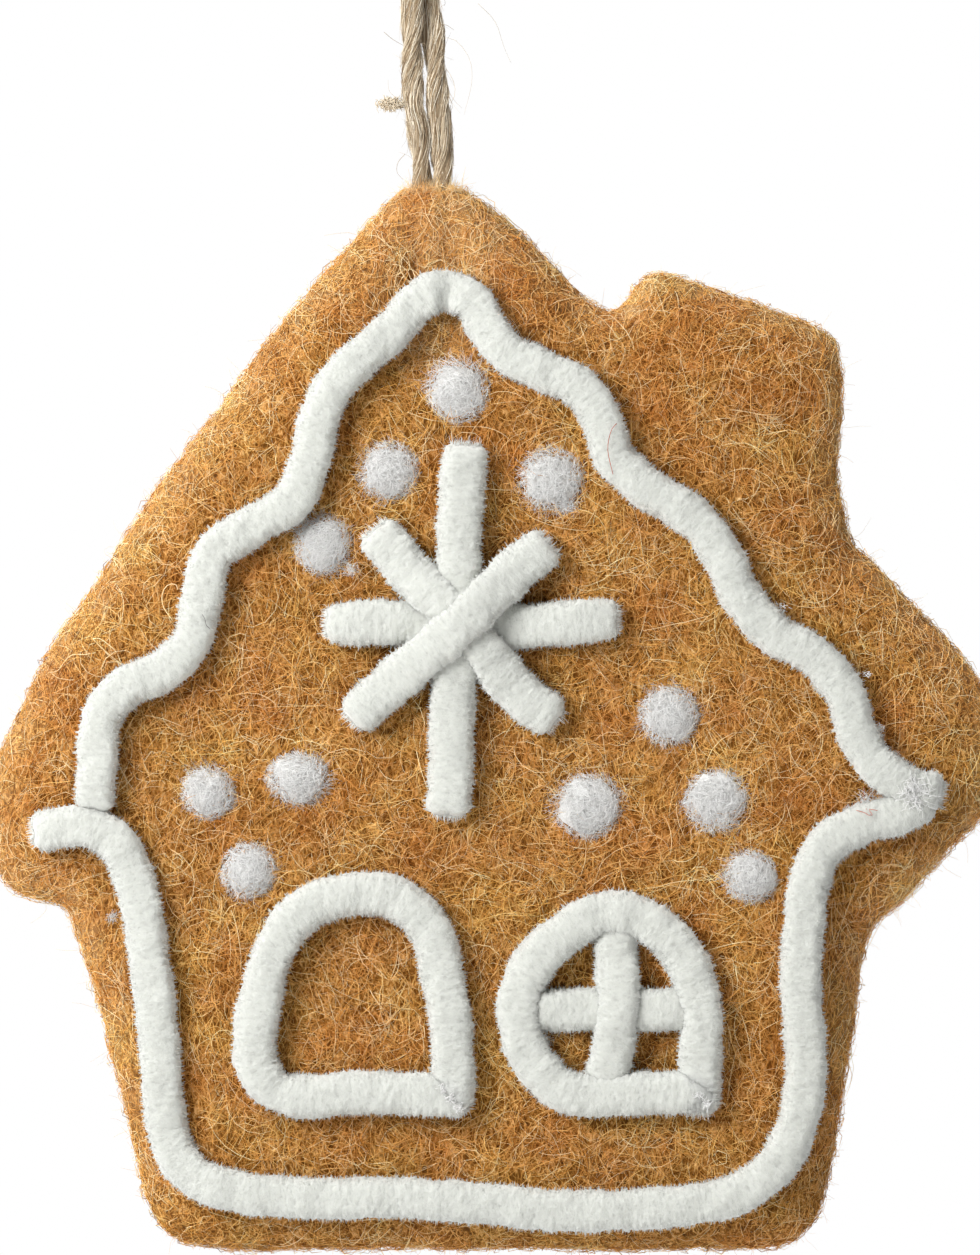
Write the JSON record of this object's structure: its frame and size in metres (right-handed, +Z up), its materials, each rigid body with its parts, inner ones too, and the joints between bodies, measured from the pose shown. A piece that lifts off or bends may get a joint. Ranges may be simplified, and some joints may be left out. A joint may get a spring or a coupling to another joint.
{
  "type": "gingerbread house ornament",
  "caption": "Thick felt house ornament piped with soft cord and dotted with wool, hanging from a twine loop at its peak.",
  "frame": {"origin": "inside top of the twine loop, the point where a hook or twig carries the ornament", "axes": "+X to the right seen from the decorated front, +Z up; the decorated front faces -Y"},
  "size_m": [0.1, 0.0171, 0.1743],
  "materials": {
    "brown_felt": "needle-felted caramel-brown wool with pale stray fibres",
    "white_chenille": "off-white chenille cord, short dense pile in fine ridges",
    "white_wool": "cool white felted wool with swirling fibres",
    "jute_twine": "two-ply natural jute, dry and hairy"
  },
  "bodies": {
    "hanger": {"twine_loop": "jute_twine"},
    "house": {"felt_body": "brown_felt", "twine_knot": "jute_twine", "roof_trim": "white_chenille", "wall_trim": "white_chenille", "door_frame": "white_chenille", "window_frame": "white_chenille", "window_crossbar": "white_chenille", "window_upright": "white_chenille", "star_cord_level": "white_chenille", "star_cord_upright": "white_chenille", "star_cord_falling": "white_chenille", "star_cord_rising": "white_chenille", "dot_peak": "white_wool", "dot_upper_left": "white_wool", "dot_upper_right": "white_wool", "dot_left_slope": "white_wool", "dot_left_middle": "white_wool", "dot_left_eave": "white_wool", "dot_left_wall": "white_wool", "dot_centre": "white_wool", "dot_right_slope": "white_wool", "dot_right_eave": "white_wool", "dot_right_wall": "white_wool"}
  },
  "joints": [
    {"name": "loop_fold", "type": "hinge", "parent": "hanger", "child": "house", "pos_m": [0.0042, 0, -0.065], "axis": [1, 0, 0], "range_deg": [-90, 90]}
  ]
}
